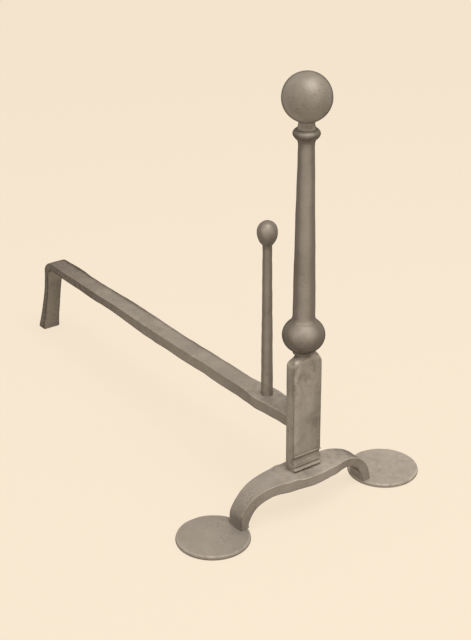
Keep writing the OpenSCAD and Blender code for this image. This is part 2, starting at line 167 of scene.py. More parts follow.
def forged(grid, sizes, hold, ring=False):
    # Pushes the surface inwards along its normal where hold is above 0, by waves of about 0.02 to 0.98
    # of their depth and by hammer dishes, which the piece's "feel" gives
    feel = sizes["feel"]
    normal = gridNormals(grid, ring)
    lumps = np.clip(waves(grid, feel["waveSize"], sizes["seed"]), -1.2, 1.2)
    push = feel["waveDepth"] * (0.5 + 0.4 * lumps)
    if feel["dishDepth"] > 0:
        push = push + feel["dishDepth"] * dishes(grid, feel["dishSize"], sizes["seed"] + 1)
    return grid - normal * (push * hold)[..., None]


def bendOf(grid, reach, ring):
    # Unit steps to the neighbours on both sides, summed against the normal: below 0 on an edge,
    # above 0 in a hollow, and 0 on a flat
    normal = gridNormals(grid, ring)
    total = 0
    for axis in (0, 1):
        for sign in (-reach, reach):
            step = np.roll(grid, sign, axis) - grid
            if axis == 0 and not ring:
                (step[:reach] if sign > 0 else step[-reach:])[...] = 0
            total = total + step / (np.linalg.norm(step, axis=-1, keepdims=True) + 1e-9)
    return (total * normal).sum(-1)


def spreadOut(values, passes):
    # Each pass mixes a value half and half with its neighbours, round the columns and then along the rows
    for _ in range(passes):
        values = (values * 2 + np.roll(values, 1, 1) + np.roll(values, -1, 1)) / 4
        values[1:-1] = (values[:-2] + values[2:] + 2 * values[1:-1]) / 4
    return values


def newObject(name, data):   # an object at the origin, in the scene
    thing = bpy.data.objects.new(name, data)
    bpy.context.scene.collection.objects.link(thing)
    return thing


wearAndShadeSettings = {"reach": 2, "sharpGain": 1.6, "sharpSpread": 2, "hollowGain": 1.8, "hollowSpread": 3,
           "creaseAngle": 50.0}


def makePiece(name, node, material, shells):
    # One mesh from closed shells. A shell is (grid, ring, marks): its columns always close, its rows close
    # when ring is true, and otherwise a fan closes each end. In the marks, the edge entry says how far
    # edges are rubbed pale with wear and painted highlight, or darkened where it is below 0, the pale entry
    # adds paler areas, mostly painted light, and the entry for darker areas adds painted shade, or painted
    # light below 0.
    # Concave places darken with soot and painted shade.
    places, wearAndHighlights, hollows, quads, fans, start = [], [], [], [], [], 0
    for grid, ring, *given in shells:
        rows, columns = grid.shape[:2]
        wearAndPaintedLight = {"edge": 1.0, "pale": 0.0, "darkening": 0.0, **(given[0] if given else {})}
        bend = bendOf(grid, wearAndShadeSettings["reach"], ring)
        sharp = spreadOut(np.clip(-bend * wearAndShadeSettings["sharpGain"], 0, 1), wearAndShadeSettings["sharpSpread"])
        hollow = spreadOut(np.clip(bend * wearAndShadeSettings["hollowGain"], 0, 1), wearAndShadeSettings["hollowSpread"])
        number = start + np.arange(rows * columns).reshape(rows, columns)
        upper = np.roll(number, -1, 0) if ring else number[1:]
        lower = number if ring else number[:-1]
        quad = stacked(lower, np.roll(lower, -1, 1), np.roll(upper, -1, 1), upper).reshape(-1, 4)
        places.append(grid.reshape(-1, 3))
        wearAndHighlights.append((sharp * np.clip(wearAndPaintedLight["edge"], 0, 1) + wearAndPaintedLight["pale"]).ravel())
        hollows.append((hollow + sharp * np.clip(-wearAndPaintedLight["edge"], 0, 1) + wearAndPaintedLight["darkening"]).ravel())
        start += rows * columns
        fan = np.zeros((0, 3), int)
        if not ring:
            places.append(np.stack([grid[0].mean(0), grid[-1].mean(0)]))
            wearAndHighlights.append(np.zeros(2))
            hollows.append(np.zeros(2))
            first, last = number[0], number[-1]
            fan = np.concatenate([stacked(np.roll(first, -1), first, start),
                                  stacked(last, np.roll(last, -1), start + 1)])
            start += 2
        every = np.concatenate(places)
        corners = np.concatenate([quad[:, :3], quad[:, [0, 2, 3]], fan])
        a, b, c = (every[corners[:, k]] - every[number[0, 0]] for k in range(3))
        if (a * np.cross(b, c)).sum() < 0:   # the shell's volume is below 0 when it is inside out
            quad, fan = quad[:, ::-1], fan[:, ::-1]
        quads.append(quad)
        fans.append(fan)
    every, quad, fan = np.concatenate(places), np.concatenate(quads), np.concatenate(fans)
    mesh = bpy.data.meshes.new(name)
    mesh.vertices.add(len(every))
    mesh.vertices.foreach_set("co", (every * mm).astype(np.float32).ravel())
    mesh.loops.add(4 * len(quad) + 3 * len(fan))
    mesh.loops.foreach_set("vertex_index", np.r_[quad.ravel(), fan.ravel()].astype(np.int32))
    mesh.polygons.add(len(quad) + len(fan))
    starts = np.r_[np.arange(len(quad)) * 4, 4 * len(quad) + np.arange(len(fan)) * 3]
    mesh.polygons.foreach_set("loop_start", starts.astype(np.int32))
    mesh.update(calc_edges=True)
    mesh.validate()
    mesh.polygons.foreach_set("use_smooth", np.ones(len(mesh.polygons), bool))
    mesh.set_sharp_from_angle(angle=math.radians(wearAndShadeSettings["creaseAngle"]))
    for label, values in (("wear_and_highlight", np.concatenate(wearAndHighlights)), ("hollow", np.concatenate(hollows))):
        mesh.attributes.new(label, "FLOAT", "POINT").data.foreach_set("value", values.astype(np.float32))
    mesh.materials.append(material)
    piece = newObject(name, mesh)
    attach(piece, "root")
    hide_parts(node)
    print("made", name, "with", len(mesh.polygons), "faces")


def fromScreen(red, green, blue):
    # A colour as it looks on screen, 0 to 255, as the linear one that shaders use
    screen = np.array([red, green, blue]) / 255
    linear = np.where(screen <= 0.04045, screen / 12.92, ((screen + 0.055) / 1.055) ** 2.4)
    return tuple(linear.tolist()) + (1.0,)


def newGroup(name, inputs, outputs):
    # A node group whose inputs and outputs have a name and a kind, and the sockets to build between
    group = bpy.data.node_groups.new(name, "ShaderNodeTree")
    for way, sockets in (("INPUT", inputs), ("OUTPUT", outputs)):
        for label, kind in sockets.items():
            group.interface.new_socket(label, in_out=way, socket_type="NodeSocket" + kind)
    return group, group.nodes.new("NodeGroupInput").outputs, group.nodes.new("NodeGroupOutput").inputs


def addNode(tree, kind, links=None, **settings):
    # One node, with its settings, and its inputs set to a value or linked to another node's output
    node = tree.nodes.new("ShaderNode" + kind)
    for key, value in settings.items():
        setattr(node, key, value)
    for key, value in (links or {}).items():
        if isinstance(value, bpy.types.NodeSocket):
            tree.links.new(value, node.inputs[key])
        else:
            node.inputs[key].default_value = value
    return node


def maths(tree, operation, a, b=0.0, clamp=False):   # a Math node
    return addNode(tree, "Math", {0: a, 1: b}, operation=operation, use_clamp=clamp).outputs[0]


def times(tree, a, b, clamp=False):   # the two multiplied
    return maths(tree, "MULTIPLY", a, b, clamp)


def mixed(tree, amount, a, b):   # colour a turning into colour b
    return addNode(tree, "Mix", {0: amount, 6: a, 7: b}, data_type="RGBA").outputs[2]


def ramp(tree, value, low, high):   # 0 up to low, easing to 1 at high
    return addNode(tree, "MapRange", {"Value": value, "From Min": low, "From Max": high},
                   interpolation_type="SMOOTHSTEP").outputs[0]


def spread(tree, value, low, high, fromLow, fromHigh):   # straight from low to high between the two values
    return addNode(tree, "MapRange", {"Value": value, "From Min": fromLow, "From Max": fromHigh,
                                      "To Min": low, "To Max": high}).outputs[0]


def noise(tree, vector, scale, detail, rough=0.55, warp=0.0):   # soft random lumps, 0 to 1
    return addNode(tree, "TexNoise", {"Vector": vector, "Scale": scale, "Detail": detail,
                                      "Roughness": rough, "Distortion": warp}).outputs[0]


def ironToneGroup():
    # Cloudy wrought iron: broad dark and pale patches, with a fine wash of grain over them
    group, given, out = newGroup("ironTone", {
        "Vector": "Vector", "Dark": "Color", "Body": "Color", "Pale": "Color", "Patch Scale": "Float",
        "Grain Scale": "Float", "Grain": "Float"}, {"Color": "Color", "Patch": "Float"})
    place, wash = given["Vector"], given["Grain"]
    patch = noise(group, place, given["Patch Scale"], 4.0, 0.6, 0.6)
    low = mixed(group, ramp(group, patch, 0.30, 0.52), given["Dark"], given["Body"])
    tone = mixed(group, ramp(group, patch, 0.50, 0.74), low, given["Pale"])
    grain = noise(group, place, given["Grain Scale"], 2.0, 0.7)
    lift = spread(group, grain, maths(group, "SUBTRACT", 1.0, wash), maths(group, "ADD", 1.0, wash),
                  0.3, 0.7)
    washed = addNode(group, "VectorMath", {0: tone, "Scale": lift}, operation="SCALE").outputs[0]
    group.links.new(washed, out["Color"])
    group.links.new(patch, out["Patch"])
    return group


def forgeSkinGroup():
    # Skin left by the fire: scale pits in patches and a soft orange peel
    group, given, out = newGroup("forgeSkin", {
        "Vector": "Vector", "Pit Scale": "Float", "Peel Scale": "Float", "Pit Depth": "Float",
        "Peel Depth": "Float"}, {"Height": "Float", "Pits": "Float"})
    place, pitScale = given["Vector"], given["Pit Scale"]
    cells = addNode(group, "TexVoronoi", {"Vector": place, "Scale": pitScale})
    where = noise(group, place, times(group, pitScale, 0.12), 3.0, 0.6)
    pit = times(group, ramp(group, cells.outputs["Distance"], 0.42, 0.12), ramp(group, where, 0.50, 0.66))
    peel = noise(group, place, given["Peel Scale"], 5.0, 0.62)
    height = maths(group, "SUBTRACT", times(group, peel, given["Peel Depth"]),
                  times(group, pit, given["Pit Depth"]))
    group.links.new(height, out["Height"])
    group.links.new(pit, out["Pits"])
    return group


def fileMarksGroup():
    # Fine parallel scratches: noise in a space that the material's Mapping node has stretched
    group, given, out = newGroup("fileMarks", {
        "Vector": "Vector", "Scale": "Float", "Sparse": "Float"}, {"Height": "Float", "Marks": "Float"})
    place, scale, sparse = given["Vector"], given["Scale"], given["Sparse"]
    fine = noise(group, place, scale, 4.0, 0.7)
    coarse = noise(group, place, times(group, scale, 0.25), 2.0)
    marks = ramp(group, fine, sparse, maths(group, "ADD", sparse, 0.16))
    height = maths(group, "ADD", times(group, fine, 0.6), times(group, coarse, 0.6))
    group.links.new(height, out["Height"])
    group.links.new(marks, out["Marks"])
    return group


def edgeWearAndPaintedLightGroup():
    # Edges rubbed paler by handling and lit with painted highlight, broken up by noise; hollows and other
    # places darkened with soot and painted shade
    group, given, out = newGroup("edgeWearAndPaintedLight", {
        "Color": "Color", "Vector": "Vector", "Wear_and_highlight": "Float", "Hollow": "Float", "Wear And Highlight Color": "Color",
        "Soot And Shade Color": "Color", "Wear And Highlight Amount": "Float", "Soot And Shade Amount": "Float"},
        {"Color": "Color", "Worn And Lit": "Float"})
    place = given["Vector"]
    broken = ramp(group, noise(group, place, 140.0, 4.0, 0.65), 0.28, 0.62)
    wornAndLit = times(group, times(group, given["Wear_and_highlight"], broken), given["Wear And Highlight Amount"], True)
    mottle = spread(group, noise(group, place, 230.0, 5.0, 0.7), 0.7, 1.3, 0.35, 0.65)
    sootAndShadeMix = times(group, times(group, given["Hollow"], mottle), given["Soot And Shade Amount"], True)
    dark = mixed(group, sootAndShadeMix, given["Color"], given["Soot And Shade Color"])
    group.links.new(mixed(group, wornAndLit, dark, given["Wear And Highlight Color"]), out["Color"])
    group.links.new(wornAndLit, out["Worn And Lit"])
    return group


toneGroup = ironToneGroup()
skinGroup = forgeSkinGroup()
marksGroup = fileMarksGroup()
wearAndLightGroup = edgeWearAndPaintedLightGroup()


def emptyMaterial(name):   # a material and its node tree, with nothing in it yet
    material = bpy.data.materials.new(name)
    material.use_nodes = True
    material.node_tree.nodes.clear()
    return material, material.node_tree


def ironMaterial(name, look):
    # Wrought iron with its own tone, pits, marks, rubbed edges with painted highlight, soot with painted
    # shade, and painted shade darkening it towards its outline, where the surface turns away from the view
    look = {**look, **{key: fromScreen(*look[key]) for key in ("dark", "body", "pale", "wornAndLit", "sootAndShade")}}
    material, tree = emptyMaterial(name)
    place = addNode(tree, "TexCoord").outputs["Object"]
    stretch = addNode(tree, "Mapping", {"Vector": place, "Rotation": look["markTurn"],
                                        "Scale": look["markStretch"]})
    tone = addNode(tree, "Group", {
        "Vector": place, "Dark": look["dark"], "Body": look["body"], "Pale": look["pale"],
        "Patch Scale": look["patch"], "Grain Scale": look["grain"], "Grain": look["wash"]},
        node_tree=toneGroup)
    skin = addNode(tree, "Group", {
        "Vector": place, "Pit Scale": look["pits"], "Peel Scale": look["peel"],
        "Pit Depth": look["pitDepth"], "Peel Depth": look["peelDepth"]}, node_tree=skinGroup)
    marks = addNode(tree, "Group", {
        "Vector": stretch.outputs[0], "Scale": look["marks"], "Sparse": look["sparse"]},
        node_tree=marksGroup)
    pitted = mixed(tree, times(tree, skin.outputs["Pits"], look["pitDark"]), tone.outputs["Color"],
                   look["sootAndShade"])
    scored = mixed(tree, times(tree, marks.outputs["Marks"], look["markPale"]), pitted, look["wornAndLit"])
    wear_and_highlight = addNode(tree, "Group", {
        "Color": scored, "Vector": place, "Wear And Highlight Color": look["wornAndLit"], "Soot And Shade Color": look["sootAndShade"],
        "Wear And Highlight Amount": look["wornAndLitAmount"], "Soot And Shade Amount": look["sootAndShadeAmount"]}, node_tree=wearAndLightGroup)
    # The two attributes: edge wear with painted highlight, and soot with painted shade and painted light
    for label in ("wear_and_highlight", "hollow"):
        worn = addNode(tree, "Attribute", attribute_name=label)
        tree.links.new(worn.outputs["Fac"], wear_and_highlight.inputs[label.capitalize()])
    scratches = times(tree, marks.outputs["Height"], look["markDepth"])
    height = maths(tree, "ADD", skin.outputs["Height"], scratches)
    bump = addNode(tree, "Bump", {"Strength": look["bump"], "Distance": look["bumpDistance"],
                                  "Height": height})
    rough = spread(tree, tone.outputs["Patch"], look["rough"] - look["roughSpan"],
                   look["rough"] + look["roughSpan"], 0.3, 0.7)
    # Painted shade: the base colour turns towards the darkest colour as the surface turns away from the
    # view
    facing = addNode(tree, "LayerWeight", {"Blend": 0.5}).outputs["Facing"]
    outlineShade = times(tree, ramp(tree, facing, look["outlineShadeFrom"], look["outlineShadeTo"]), look["outlineShade"])
    gloss = maths(tree, "SUBTRACT", 1.0, ramp(tree, facing, look["dullFrom"], look["dullTo"]))
    shader = addNode(tree, "BsdfPrincipled", {
        "Base Color": mixed(tree, outlineShade, wear_and_highlight.outputs["Color"], look["sootAndShade"]), "Normal": bump.outputs[0],
        "Roughness": maths(tree, "SUBTRACT", rough, times(tree, wear_and_highlight.outputs["Worn And Lit"], look["polish"])),
        "Metallic": times(tree, gloss, look["metal"]),
        "Specular IOR Level": times(tree, gloss, look["sheen"])})
    addNode(tree, "OutputMaterial", {"Surface": shader.outputs[0]})
    return material


# Colours are as they look on screen, scales are per metre, amounts and depths are shares of 1, and the
# bump's distance is in metres
# The darkest colour serves for soot, pits and painted shade, the palest for file marks, worn edges and
# painted highlights
ironLook = {
    "dark": (128, 119, 107), "body": (148, 138, 126), "pale": (164, 153, 139), "wornAndLit": (192, 180, 164),
    "sootAndShade": (76, 66, 55), "patch": 16.0, "grain": 1100.0, "wash": 0.13, "pits": 330.0, "peel": 520.0,
    "pitDepth": 0.5, "peelDepth": 0.5, "pitDark": 0.5, "marks": 300.0, "sparse": 0.60, "markPale": 0.16,
    "markDepth": 0.25, "markStretch": (1.0, 1.0, 0.08), "markTurn": (0.0, 0.0, 0.0), "wornAndLitAmount": 0.55,
    "sootAndShadeAmount": 0.75, "bump": 0.35, "bumpDistance": 0.0006, "rough": 0.50, "roughSpan": 0.07,
    "polish": 0.16, "metal": 0.15, "sheen": 0.5, "outlineShade": 0.6, "outlineShadeFrom": 0.5, "outlineShadeTo": 0.95,
    "dullFrom": 0.35, "dullTo": 0.75}
turnedLook = {**ironLook, "dark": (136, 127, 116), "body": (155, 145, 134), "pale": (171, 160, 148),
              "markPale": 0.22, "outlineShade": 0.64, "outlineShadeFrom": 0.01, "outlineShadeTo": 0.37}
postIron = ironMaterial("postIron", turnedLook)
ballIron = ironMaterial("ballIron", {**turnedLook, "outlineShade": 0.6, "outlineShadeFrom": 0.55, "outlineShadeTo": 0.95})
plinthIron = ironMaterial("plinthIron", {
    **ironLook, "dark": (122, 114, 103), "body": (153, 144, 132), "pale": (170, 160, 147),
    "markPale": 0.35, "markDepth": 0.55, "marks": 420.0, "sparse": 0.56, "wornAndLitAmount": 0.8, "pitDark": 0.45})
strapIron = ironMaterial("strapIron", {
    **ironLook, "body": (153, 143, 132), "pale": (172, 161, 149), "markStretch": (0.12, 1.0, 1.0),
    "markPale": 0.08})
barIron = ironMaterial("barIron", {
    **ironLook, "markStretch": (1.0, 0.06, 1.0), "markPale": 0.10, "pitDark": 0.45, "bump": 0.45,
    "sootAndShadeAmount": 0.95})
footIron = ironMaterial("footIron", {
    **ironLook, "dark": (147, 138, 126), "body": (157, 147, 135), "pale": (170, 160, 147),
    "markStretch": (0.10, 1.0, 1.0), "markTurn": (0.0, 0.0, 0.7), "marks": 260.0, "sparse": 0.63,
    "markPale": 0.30, "wornAndLitAmount": 0.75})
stopIron = ironMaterial("stopIron", {**turnedLook, "pitDark": 0.4, "outlineShade": 0.55})
print("iron materials ready")


def cornersOf(node):   # lowest and highest corner of a CAD node, in millimetres
    return [np.array(corner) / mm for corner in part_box(node)]


def sizesOf(node):   # its bottom, its top and its width from left to right
    low, high = cornersOf(node)
    return low[2], high[2], high[0] - low[0]


# The pieces are worked out in millimetres. A pair in their tables, such as (15.0, 12.0), is a fade's start
# and length, a bell's place and width, or a spot's half size and edge.
smooth = {"waveDepth": 0.25, "waveSize": 26.0, "dishDepth": 0.0, "dishSize": 10.0}
hammered = {"waveDepth": 0.45, "waveSize": 22.0, "dishDepth": 0.16, "dishSize": 10.0}
postFoot = (0.0, postY / mm)
axisGap = 0.1   # a turned outline stops this far from its axis, where a fan closes it

# Feet: top edges rubbed pale with wear and painted highlight, bottom edges darkened with painted shade
# where they meet the floor; the left disc is a little darker all over and the right one paler
feet = {"bevel": 1.0, "bevelUnder": 0.5, "step": 0.45, "around": 260, "rounding": 5, "feel": hammered,
        "hold": (1 / 7, 5 / 7), "edges": (1.0, -0.8), "seeds": {"left": 11, "right": 23},
        "wearAndPaintedLight": {"left": {"darkening": 0.13}, "right": {"pale": 0.45}}}
for side in ("left", "right"):
    top, wide = sizesOf(side + "_foot")[1:]
    centre = sum(cornersOf(side + "_foot")) / 2
    radius = wide / 2
    outline = [(axisGap, 0), (radius - feet["bevelUnder"], 0), (radius, feet["bevelUnder"]),
               (radius, top - feet["bevel"]), (radius - feet["bevel"], top), (axisGap, top)]
    disc = turned(soften(evenly(outline, feet["step"]), feet["rounding"]), feet["around"], centre[:2])
    disc = forged(disc, {**feet, "seed": feet["seeds"][side]}, fade(disc[..., 2] / top, *feet["hold"]))
    wearAndPaintedLight = {**feet["wearAndPaintedLight"][side], "edge": np.where(disc[..., 2] > top / 2, *feet["edges"])}
    makePiece(side + "Foot", side + "_foot", footIron, [(disc, False, wearAndPaintedLight)])


def strapLine(sizes, drop, belly, face, footTop):
    # Half of the strap's edge as seen from the front: flat seat, easy rise to the shoulder, then a
    # quarter of a superellipse, x = a sin(t)^(2/n) and z = b cos(t)^(2/n), down to the foot
    seat = np.linspace(0, sizes["seat"], sizes["seatSteps"], endpoint=False)
    t = np.linspace(0, 1, sizes["riseSteps"], endpoint=False)
    z = sizes["height"] - drop
    rise = stacked(between(sizes["seat"], sizes["humpX"], t),
                   z + sizes["humpRise"] * ease(t) - belly * (1 - ease(t)))
    across, high, power = face - sizes["humpX"], z + sizes["humpRise"], 2 / sizes["turn"]
    t = np.linspace(0, math.acos((footTop / high) ** (1 / power)), sizes["turnSteps"])
    fall = stacked(sizes["humpX"] + across * np.sin(t) ** power, high * np.cos(t) ** power)
    return np.concatenate([stacked(seat, z - belly), rise, fall])


def swayed(halfWidth, line, sizes):   # half width less sway times 0.5 plus 0.4 times waves along the line
    return halfWidth - sizes["sway"] * (0.5 + 0.4 * waves(line, sizes["swayLength"], sizes["seed"]))


strap = {"humpRise": -1.8, "humpX": 34.0, "legX": 89.0, "legThick": 11.0, "thick": 11.2, "belly": 0.6,
         "seat": 19.2, "width": 43.6, "legWidth": 22.6, "narrowing": 2.4, "lead": 5.2, "turn": 2.25,
         "corner": 1.3, "seatSteps": 26, "riseSteps": 22, "turnSteps": 110, "section": (46, 14, 7),
         "fuller": 2.0, "fullerOut": (15.0, 12.0), "fullerUp": (1.0, 14.0), "sway": 0.3, "swayLength": 30.0,
         "seed": 37, "feel": hammered, "plinthY": -2.0, "spotX": (21.0, 4.0), "spotY": (13.0, 3.0),
         "holdUp": 3.0, "edges": (1.0, -0.5, -0.8), "facingUp": (0.3, 0.3), "facingDown": (0.1, 0.3),
         "humpPale": 0.8, "humpFrom": (-46.0, 26.0), "hollowPale": 1.0, "hollowFrom": (44.0, 14.0)}
footTop = sizesOf("left_foot")[1]
strap["height"] = sizesOf("arch_strap")[1] - max(strap["humpRise"], 0)
lines = [strapLine(strap, 0, 0, strap["legX"], footTop),
         strapLine(strap, strap["thick"], strap["belly"], strap["legX"] - strap["legThick"], footTop)]
lines = [np.concatenate([line[:0:-1] * (-1, 1), line]) for line in lines]
tangent = np.gradient(lines[0], axis=0)
outwards = stacked(-tangent[:, 1], tangent[:, 0]) / np.linalg.norm(tangent, axis=1)[:, None]
x, z = lines[0].T
fuller = strap["fuller"] * fade(-x, *strap["fullerOut"]) * fade(z - footTop, *strap["fullerUp"])
lines[0] = lines[0] + outwards * fuller[:, None]   # the left arm was left thicker than the right one
nearSeat = np.cos(np.pi / 2 * (lines[0][:, 0] + lines[1][:, 0]) / 2 / (strap["legX"] + 1))
bowed = postFoot[1] - strap["lead"] * nearSeat ** 2   # the strap bows forward by lead at its seat
topLine, underLine = (stacked(line[:, 0], bowed, line[:, 1]) for line in lines)
halfWidth = between(strap["legWidth"], strap["width"], nearSeat ** strap["narrowing"]) / 2
halfWidth = swayed(halfWidth, topLine, strap)
arch = drawnBar(topLine, underLine, halfWidth, strap["corner"], barSection(*strap["section"]),
                np.array([0, 1, 0]))
x, y, z = axes(arch)
underPlinth = within(x, *strap["spotX"]) * within(y - postFoot[1] - strap["plinthY"], *strap["spotY"])
arch = forged(arch, strap, (1 - underPlinth) * fade(z, footTop, strap["holdUp"]))
x, y, z = axes(arch)
# Strap: near upper edge rubbed pale with wear and painted highlight, far upper edges darkened, lower edges
# darkened with painted shade, painted light over the top from the seat rightwards, and painted light on the
# underside of the right arm, where shade falls
facesUp = gridNormals(arch, False)[..., 2]
nearEdge, farEdge, lowEdge = strap["edges"]
upper = np.where(y < bowed[:, None], nearEdge, farEdge)
wearAndPaintedLight = {"edge": np.where(facesUp > strap["facingUp"][0], upper, lowEdge),
        "pale": strap["humpPale"] * fade(x, *strap["humpFrom"]) * fade(facesUp, *strap["facingUp"])
        + strap["hollowPale"] * fade(x, *strap["hollowFrom"]) * fade(-facesUp, *strap["facingDown"])}
makePiece("archStrap", "arch_strap", strapIron, [(arch, False, wearAndPaintedLight)])


def peenShell(centre, top, radius, depth, around=72):
    # Hammered-over end of a tenon: a flat top and a dome below it, a quarter of an ellipse turned round
    angle = np.linspace(0, np.pi / 2 * 0.97, 14)
    dome = stacked(radius * np.cos(angle), top - depth * np.sin(angle))
    return turned(soften(evenly(np.concatenate([[(axisGap, top)], dome]), 0.5), 2), around, centre)


plinth = {"half": 18.2, "front": 8.7, "back": 4.7, "lead": 2.0, "neck": 11.2, "tall": 137.0,
          "shoulder": 122.0, "shoulderTall": 11.6, "fullness": 0.52, "faceRise": 7.7, "faceSquare": 2.1,
          "flareFrom": 4.6, "flareLate": 1.8, "bead": 4.0, "beadOut": 2.8, "grooveDeep": 1.4, "band": 3.0,
          "bandOut": 0.8, "cove": 8.0, "coveDeep": 1.6, "ridge": 2.6, "ridgeOut": 1.0, "levels": (23, 119),
          "rows": (130, 70, 62, 9), "around": 300, "furthest": 40.0, "halvings": 30, "worn": 3, "bore": 3.6,
          "boreDeep": 19.0, "peen": 12.0, "peenDeep": 3.0, "seed": 51, "hold": 3.0,
          "feel": {**smooth, "waveDepth": 0.16, "dishDepth": 0.06},
          "edges": (1.0, -0.9), "mouldTall": 20.0, "mouldIn": 1.3, "faceFrom": (5.5, 1.0), "archEdge": 0.6,
          "paleBand": 0.5, "bandAt": (3.0, 4.6), "bandFrom": (19.0, 4.0), "slopePale": 1.0,
          "slopeAt": (1.6, 2.4), "sidePale": 0.45, "sideFrom": (-1.0, 0.6), "sideWide": 3.6,
          "topPale": 0.45, "topFrom": (80.0, 25.0), "footPale": 0.9, "footLines": ((6.3, 1.2), (0.0, 0.9)),
          "neckShade": 0.55, "neckFrom": (-2.0, 3.0), "neckTo": 1.0, "faceShade": 0.45,
          "faceShadeFrom": (1.0, 17.0), "footLight": 0.5, "footLightTo": (7.0, 2.0)}
bottom, top = sizesOf("plinth")[:2]
plinth["seat"] = top - plinth["tall"]


def plinthFront(sizes, height):
    # How far the front face stands before the post's axis: bead, groove, band, hollow, ridge, plain face
    face, bead, ridge = sizes["front"], sizes["bead"] / 2, sizes["ridge"] / 2
    z = np.cumsum([0, sizes["bead"], sizes["grooveDeep"], sizes["band"], sizes["cove"]])
    beadArc = np.radians(np.linspace(-80, 80, 15))
    t = np.linspace(0, 1, 22)[1:-1]
    ridgeArc = np.radians(np.linspace(-70, 70, 9))
    depth = np.concatenate([
        face + sizes["beadOut"] * np.cos(beadArc), [face - sizes["grooveDeep"]],
        [face + sizes["bandOut"]] * 2,
        face + sizes["bandOut"] * (1 - t) - sizes["coveDeep"] * np.sin(np.pi * t ** 1.5),
        face + sizes["ridgeOut"] * np.cos(ridgeArc), [face]])
    level = np.concatenate([
        bead * (1 + np.sin(beadArc)), [z[1] + sizes["grooveDeep"] / 2], [z[2], z[3]],
        z[3] + sizes["cove"] * t, z[4] + ridge * (1 + np.sin(ridgeArc)), [z[4] + 2 * ridge]])
    return np.interp(height, level, depth)


def pastFace(sizes, x, z):
    # How far a point lies above the low arch that ends a flat face, a superellipse over its width
    arch = np.clip(1 - abs(x / sizes["half"]) ** sizes["faceSquare"], 0, 1) ** (1 / sizes["faceSquare"])
    return z - sizes["shoulder"] - sizes["faceRise"] * arch


def slabReach(sizes, z, x, toFront):
    # How far the flat faces stand from the post's axis. From the arch that ends a face, the shoulder
    # slopes in by as much as it rises.
    face = np.where(toFront, plinthFront(sizes, z), sizes["back"])
    return face - np.maximum(pastFace(sizes, x, z), 0)


def plinthSkin(sizes):
    # Around the post's axis the skin is the further of the round neck's flare and the slab, whose
    # edge is found by halving the range that it lies in, time after time
    neckFoot = sizes["shoulder"] + sizes["shoulderTall"]
    levels = (0, *sizes["levels"], neckFoot, sizes["tall"])   # rows are close on mouldings and shoulder
    z = np.concatenate([[0]] + [np.linspace(low, high, count)[1:]
                                for low, high, count in zip(levels, levels[1:], sizes["rows"])])
    deep = (sizes["front"] + sizes["back"]) / 2
    perimeter = np.array([(-1, -1), (1, -1), (1, 1), (-1, 1), (-1, -1)]) * (sizes["half"], deep)
    perimeter[:, 1] -= sizes["lead"]
    length = np.linalg.norm(np.diff(perimeter, axis=0), axis=1).sum()
    walk = evenly(perimeter, length / sizes["around"])[:-1]
    cos, sin = (walk / np.linalg.norm(walk, axis=1)[:, None]).T
    up = z[:, None]
    shoulder = np.clip((up - sizes["shoulder"]) / sizes["shoulderTall"], 0, 1)
    half = between(sizes["neck"], sizes["half"], np.cos(np.pi / 2 * shoulder) ** sizes["fullness"])
    near = np.zeros((len(z), len(walk)))
    far = near + sizes["furthest"]
    for _ in range(sizes["halvings"]):
        rho = (near + far) / 2
        inside = (rho * abs(cos) < half) & (rho * abs(sin) < slabReach(sizes, up, rho * cos, sin < 0))
        near, far = np.where(inside, rho, near), np.where(inside, far, rho)
    climb = np.clip((up - neckFoot) / (0.75 * sizes["shoulderTall"]) + 1, 0, 1)
    flare = between(sizes["flareFrom"], sizes["neck"], climb ** sizes["flareLate"])
    rho = np.where(up > neckFoot, sizes["neck"], np.maximum(near, flare))
    skin = stacked(rho * cos, rho * sin, up)
    for _ in range(sizes["worn"]):   # wears the edges round without moving the flats
        skin = skin + (np.roll(skin, 1, 1) + np.roll(skin, -1, 1) - 2 * skin) / 4
        skin[1:-1] += (skin[:-2] + skin[2:] - 2 * skin[1:-1]) / 4
    return skin, sizes["bore"] * cos, sizes["bore"] * sin


def plinthWearAndLight(sizes, x, y, z):
    # Mouldings' edges rubbed bright with painted highlight and not darkened, other edges darkened; painted
    # highlight in bands inside the left edge, above the arch, down the middle of the sides and along two
    # lines of the foot, the faces lit paler towards their top with painted light, painted shade under the
    # knop and towards the right of the front, and painted light taking the shade away at the very foot
    past = pastFace(sizes, x, z)
    onFace = fade(abs(y + sizes["lead"]), *sizes["faceFrom"]) * fade(-past, 0, sizes["archEdge"])
    beside = bell(x + sizes["half"], *sizes["bandAt"]) * fade(z, *sizes["bandFrom"])
    sides = fade(abs(x) - sizes["half"], *sizes["sideFrom"]) * bell(y + sizes["lead"], 0, sizes["sideWide"])
    neck = fade(z - sizes["shoulder"] - sizes["shoulderTall"], *sizes["neckFrom"])
    neck = neck * (1 - fade(z, sizes["tall"], sizes["neckTo"]))
    inMoulding = (z < sizes["mouldTall"]) & (abs(x) < sizes["half"] - sizes["mouldIn"])
    return {"edge": np.where(inMoulding, *sizes["edges"]),
            "pale": onFace * (sizes["paleBand"] * beside + sizes["topPale"] * fade(z, *sizes["topFrom"]))
            + sizes["slopePale"] * bell(past, *sizes["slopeAt"]) + sizes["sidePale"] * sides
            + sizes["footPale"] * sum(bell(z, *line) for line in sizes["footLines"]),
            "darkening": sizes["neckShade"] * neck + sizes["faceShade"] * fade(x, *sizes["faceShadeFrom"]) * onFace
            - sizes["footLight"] * (1 - fade(z, *sizes["footLightTo"]))}


